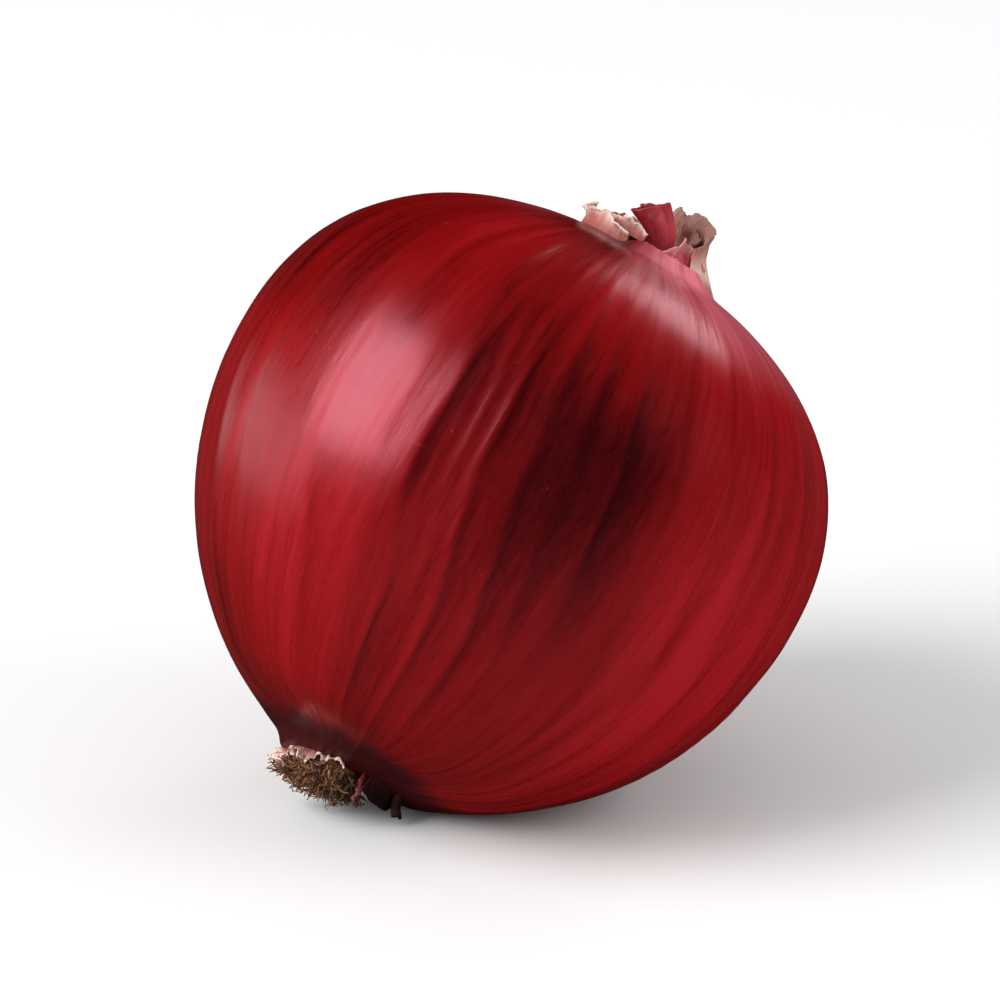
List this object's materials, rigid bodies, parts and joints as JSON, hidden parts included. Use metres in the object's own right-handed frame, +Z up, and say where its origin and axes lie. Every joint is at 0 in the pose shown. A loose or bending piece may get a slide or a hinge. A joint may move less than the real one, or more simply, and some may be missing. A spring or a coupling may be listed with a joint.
{
  "type": "red onion",
  "caption": "Whole red onion lying on its side, with glossy ridged skin, a torn papery neck and a tuft of dry roots; rests on a small flat spot.",
  "frame": {"origin": "middle of the small flat spot that the onion rests on", "axes": "+Z up from the surface it lies on, -Y the front, +X to the right; the neck leans right and back, the roots point left and forward"},
  "size_m": [0.08, 0.0798, 0.0783],
  "materials": {
    "skin": "glossy dry onion skin, deep crimson with streaks along its length",
    "roots": "dry matted roots, dull brown",
    "cream_leaf": "dry papery leaf, cream and grey-white",
    "tan_leaf": "dry papery leaf, tan with grey-brown spots",
    "red_leaf": "rolled dry leaf, satin red",
    "pink_leaf": "torn dry leaf, satin pink"
  },
  "bodies": {
    "root": {"bulb": "skin", "root_tuft": "roots", "neck_leaf_cream": "cream_leaf", "neck_leaf_tan": "tan_leaf", "neck_leaf_back": "tan_leaf", "neck_leaf_red": "red_leaf", "neck_leaf_pink": "pink_leaf"}
  },
  "joints": []
}
